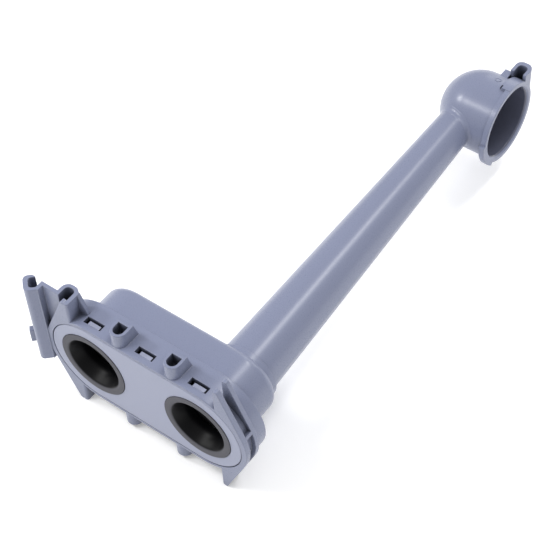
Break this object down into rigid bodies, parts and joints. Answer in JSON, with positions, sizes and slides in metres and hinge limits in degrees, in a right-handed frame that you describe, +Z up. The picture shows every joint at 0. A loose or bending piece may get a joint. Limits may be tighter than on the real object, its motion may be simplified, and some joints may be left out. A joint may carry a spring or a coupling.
{
  "type": "dishwasher wash arm holder",
  "caption": "Oblong docking head with sealed inlets and check flaps, a long tapered feed tube and an elbow whose round socket carries a dishwasher's upper wash arm.",
  "frame": {"origin": "middle of the docking plate's front face, half way between the two inlets", "axes": "+X from the upper inlet to the lower one, and out of the socket's mouth; +Y back along the feed tube; +Z up as the duct lies on a table"},
  "size_m": [0.1039, 0.2188, 0.0604],
  "materials": {
    "grey_polypropylene": "satin",
    "light_polypropylene": "satin",
    "seal_rubber": "satin",
    "flap_polypropylene": "satin"
  },
  "bodies": {
    "housing": {"duct_body": "grey_polypropylene", "docking_plate": "light_polypropylene", "upper_inlet_seal": "seal_rubber", "lower_inlet_seal": "seal_rubber"},
    "upper_flap": {"upper_check_flap": "flap_polypropylene"},
    "lower_flap": {"lower_check_flap": "flap_polypropylene"}
  },
  "joints": [
    {"name": "upper_flap_hinge", "type": "hinge", "parent": "housing", "child": "upper_flap", "pos_m": [-0.0096, 0.0094, 0], "axis": [0, 0, -1], "range_deg": [0, 35]},
    {"name": "lower_flap_hinge", "type": "hinge", "parent": "housing", "child": "lower_flap", "pos_m": [0.0096, 0.0094, 0], "axis": [0, 0, 1], "range_deg": [0, 35]}
  ]
}
